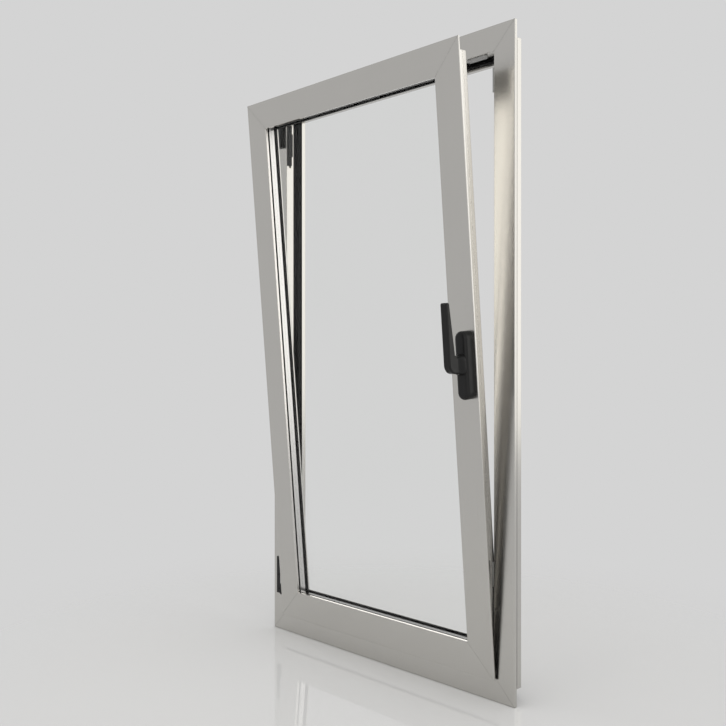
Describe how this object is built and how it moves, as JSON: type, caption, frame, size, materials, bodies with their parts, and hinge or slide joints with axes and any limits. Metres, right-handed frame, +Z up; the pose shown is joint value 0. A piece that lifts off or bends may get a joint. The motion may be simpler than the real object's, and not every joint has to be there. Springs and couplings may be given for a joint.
{
  "type": "tilt and turn window",
  "caption": "Aluminium tilt and turn window: flanged mitred frame, double-glazed sash leaning in at the top, black side hinges and a black lever handle on the lock stile.",
  "frame": {"origin": "on the wall side of the frame's flange, at the bottom edge, in the middle of the width", "axes": "+X to the right seen from the room, +Y out through the wall, +Z up"},
  "size_m": [0.85, 0.2082, 1.5],
  "materials": {
    "aluminium": "satin anodised",
    "polyamide": "matte",
    "rubber": "matte",
    "glass": "clear",
    "spacer": "mill",
    "zinc": "zinc plated",
    "black_metal": "satin"
  },
  "bodies": {
    "frame": {"frame_inner_left": "aluminium", "frame_inner_right": "aluminium", "frame_inner_bottom": "aluminium", "frame_inner_top": "aluminium", "frame_outer_left": "aluminium", "frame_outer_right": "aluminium", "frame_outer_bottom": "aluminium", "frame_outer_top": "aluminium", "frame_thermal_break": "polyamide", "frame_centre_seal": "rubber", "lower_hinge_leaf": "black_metal", "upper_hinge_leaf": "black_metal", "upper_hinge_clamp": "black_metal", "head_keeper": "zinc", "lock_keepers": "zinc"},
    "hinge_carrier": {"lower_hinge_arm": "black_metal"},
    "sash": {"sash_face_left": "aluminium", "sash_face_right": "aluminium", "sash_face_bottom": "aluminium", "sash_face_top": "aluminium", "sash_channel_left": "aluminium", "sash_channel_right": "aluminium", "sash_channel_bottom": "aluminium", "sash_channel_top": "aluminium", "sash_outer_left": "aluminium", "sash_outer_right": "aluminium", "sash_outer_bottom": "aluminium", "sash_outer_top": "aluminium", "glazing_bead_left": "aluminium", "glazing_bead_right": "aluminium", "glazing_bead_bottom": "aluminium", "glazing_bead_top": "aluminium", "sash_thermal_break": "polyamide", "overlap_seal": "rubber", "inner_glazing_seal": "rubber", "outer_glazing_seal": "rubber", "inner_pane": "glass", "outer_pane": "glass", "glass_spacer": "spacer", "tilt_shoe": "zinc", "lock_cams": "zinc", "handle_base": "black_metal"},
    "stay": {"stay_arm": "zinc", "stay_pin": "zinc"},
    "handle": {"handle_lever": "black_metal"}
  },
  "joints": [
    {"name": "sash_turn", "type": "hinge", "parent": "frame", "child": "hinge_carrier", "pos_m": [-0.383, -0.014, 0.156], "axis": [0, 0, 1], "range_deg": [-90, 0]},
    {"name": "sash_tilt", "type": "hinge", "parent": "hinge_carrier", "child": "sash", "pos_m": [-0.34, -0.0055, 0.065], "axis": [1, 0, 0], "range_deg": [-5, 0]},
    {"name": "stay_swing", "type": "hinge", "parent": "hinge_carrier", "child": "stay", "pos_m": [-0.383, -0.014, 1.427], "axis": [0, 0, -1], "range_deg": [-23.32, 0]},
    {"name": "handle_turn", "type": "hinge", "parent": "sash", "child": "handle", "pos_m": [0.352, -0.10107, 0.74426], "axis": [0, 0.9962, 0.0872], "range_deg": [-180, 0]}
  ],
  "couplings": [
    {"joint": "stay_swing", "follows": "sash_tilt", "ratio": 4.644}
  ]
}
